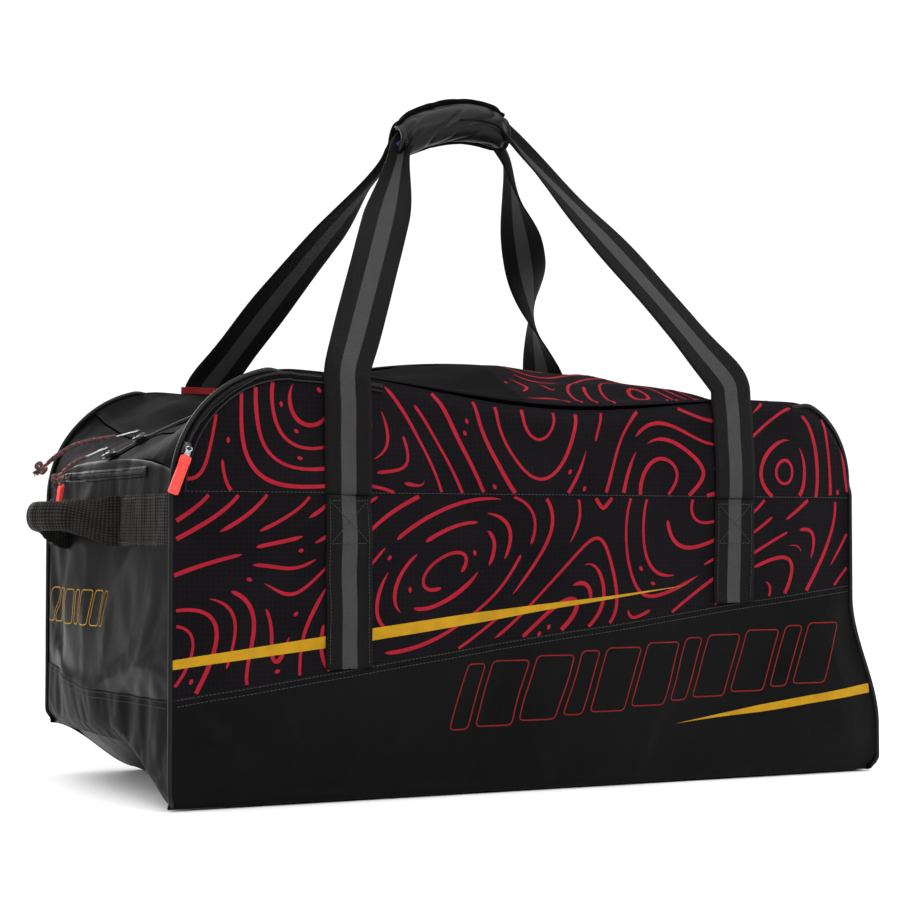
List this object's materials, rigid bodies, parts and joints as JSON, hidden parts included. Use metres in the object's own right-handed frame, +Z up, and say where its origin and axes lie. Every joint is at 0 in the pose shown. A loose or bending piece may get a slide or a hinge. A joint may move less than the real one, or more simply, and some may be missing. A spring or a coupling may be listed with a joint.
{
  "type": "hockey equipment bag",
  "caption": "Large soft carry bag for ice hockey gear: arched zip top with two fold-open flaps, webbing carry handles with a padded grip, end loops and zipped pockets.",
  "frame": {"origin": "on the underside of the base panel, midway between the two end loops' tips and midway between the front and rear faces", "axes": "+X along the bag's length to the end without the pocket, +Y from the front face to the rear face, +Z up"},
  "size_m": [1.08, 0.4693, 0.837],
  "materials": {
    "printed_polyester": "matte",
    "black_polyester": "matte",
    "coated_tarpaulin": "satin",
    "lining": "matte",
    "striped_webbing": "matte",
    "plain_webbing": "matte",
    "piping": "satin",
    "zipper_coil": "satin",
    "slider_metal": "satin",
    "silver_metal": "satin",
    "red_rubber": "satin",
    "paracord": "matte",
    "red_label": "matte"
  },
  "bodies": {
    "bag": {"base_panel": "coated_tarpaulin", "front_lower_panel": "coated_tarpaulin", "front_middle_panel": "printed_polyester", "front_upper_panel": "printed_polyester", "rear_lower_panel": "coated_tarpaulin", "rear_middle_panel": "printed_polyester", "rear_upper_panel": "printed_polyester", "left_end_lower_panel": "coated_tarpaulin", "left_end_upper_panel": "coated_tarpaulin", "right_end_lower_panel": "coated_tarpaulin", "right_end_upper_panel": "coated_tarpaulin", "front_top_gusset": "printed_polyester", "rear_top_gusset": "printed_polyester", "left_top_end": "coated_tarpaulin", "right_top_end": "printed_polyester", "left_zip_end": "zipper_coil", "right_zip_end": "zipper_coil", "front_pocket_zip": "zipper_coil", "end_pocket_zip": "zipper_coil", "left_front_piping": "piping", "left_rear_piping": "piping", "right_front_piping": "piping", "right_rear_piping": "piping", "front_left_strap_base": "striped_webbing", "front_right_strap_base": "striped_webbing", "rear_left_strap_base": "striped_webbing", "rear_right_strap_base": "striped_webbing", "left_end_webbing_front": "plain_webbing", "left_end_webbing_rear": "plain_webbing", "right_end_webbing_front": "plain_webbing", "right_end_webbing_rear": "plain_webbing", "end_pocket_divider": "lining", "front_pocket_liner": "lining", "rear_label_tab": "red_label"},
    "front_handle": {"front_handle_strap": "striped_webbing", "front_grip_pad": "coated_tarpaulin"},
    "rear_handle": {"rear_handle_strap": "striped_webbing", "rear_grip_pad": "black_polyester"},
    "front_flap": {"front_flap_panel": "black_polyester", "front_zip_chain": "zipper_coil"},
    "rear_flap": {"rear_flap_panel": "black_polyester", "rear_zip_chain": "zipper_coil"},
    "left_end_loop": {"left_end_handle": "plain_webbing"},
    "right_end_loop": {"right_end_handle": "plain_webbing"},
    "upper_slider": {"main_slider_upper": "silver_metal"},
    "upper_tab": {"main_tab_upper": "silver_metal", "main_cord_upper": "paracord", "main_cord_knot_upper": "paracord"},
    "lower_slider": {"main_slider_lower": "silver_metal"},
    "lower_tab": {"main_tab_lower": "silver_metal", "main_cord_lower": "paracord", "main_cord_knot_lower": "paracord"},
    "pocket_slider": {"front_pocket_slider": "slider_metal"},
    "pocket_pull": {"front_pocket_tab": "silver_metal", "front_pocket_pull": "red_rubber"},
    "end_slider": {"end_pocket_slider": "slider_metal"},
    "end_pull": {"end_pocket_tab": "silver_metal", "end_pocket_pull": "red_rubber"}
  },
  "joints": [
    {"name": "front_handle_swing", "type": "hinge", "parent": "bag", "child": "front_handle", "pos_m": [0, -0.2284, 0.342], "axis": [1, 0, 0], "range_deg": [0, 150]},
    {"name": "rear_handle_swing", "type": "hinge", "parent": "bag", "child": "rear_handle", "pos_m": [0, 0.2284, 0.342], "axis": [-1, 0, 0], "range_deg": [0, 150]},
    {"name": "front_flap_fold", "type": "hinge", "parent": "bag", "child": "front_flap", "pos_m": [0, -0.11, 0.505], "axis": [1, 0, 0], "range_deg": [0, 85], "deforming": ["front_flap_panel", "front_zip_chain"]},
    {"name": "rear_flap_fold", "type": "hinge", "parent": "bag", "child": "rear_flap", "pos_m": [0, 0.11, 0.505], "axis": [-1, 0, 0], "range_deg": [0, 85], "deforming": ["rear_flap_panel", "rear_zip_chain"]},
    {"name": "left_end_loop_lift", "type": "hinge", "parent": "bag", "child": "left_end_loop", "pos_m": [-0.47, 0, 0.303], "axis": [0, 1, 0], "range_deg": [0, 25]},
    {"name": "right_end_loop_lift", "type": "hinge", "parent": "bag", "child": "right_end_loop", "pos_m": [0.47, 0, 0.303], "axis": [0, -1, 0], "range_deg": [0, 60]},
    {"name": "upper_slider_travel", "type": "hinge", "parent": "bag", "child": "upper_slider", "pos_m": [0.02, 0, -0.42], "axis": [0, 1, 0], "range_deg": [0, 53.3]},
    {"name": "upper_tab_flip", "type": "hinge", "parent": "upper_slider", "child": "upper_tab", "pos_m": [-0.41287, 0, 0.41868], "axis": [0, 1, 0], "range_deg": [0, 140]},
    {"name": "lower_slider_travel", "type": "hinge", "parent": "bag", "child": "lower_slider", "pos_m": [0.02, 0, -0.42], "axis": [0, 1, 0], "range_deg": [0, 0.9]},
    {"name": "lower_tab_flip", "type": "hinge", "parent": "lower_slider", "child": "lower_tab", "pos_m": [-0.45047, 0, 0.39818], "axis": [0, 1, 0], "range_deg": [0, 80]},
    {"name": "pocket_slider_travel", "type": "hinge", "parent": "bag", "child": "pocket_slider", "pos_m": [-0.31, 0, 0.342], "axis": [0, 1, 0], "range_deg": [0, 62]},
    {"name": "pocket_pull_flip", "type": "hinge", "parent": "pocket_slider", "child": "pocket_pull", "pos_m": [-0.4344, -0.236, 0.38975], "axis": [-0.9336, 0, 0.3584], "range_deg": [0, 150]},
    {"name": "end_slider_travel", "type": "slide", "parent": "bag", "child": "end_slider", "axis": [0, -1, 0], "range_m": [0, 0.24]},
    {"name": "end_pull_flip", "type": "hinge", "parent": "end_slider", "child": "end_pull", "pos_m": [-0.4659, 0.12, 0.367], "axis": [0, 1, 0], "range_deg": [0, 110]}
  ]
}
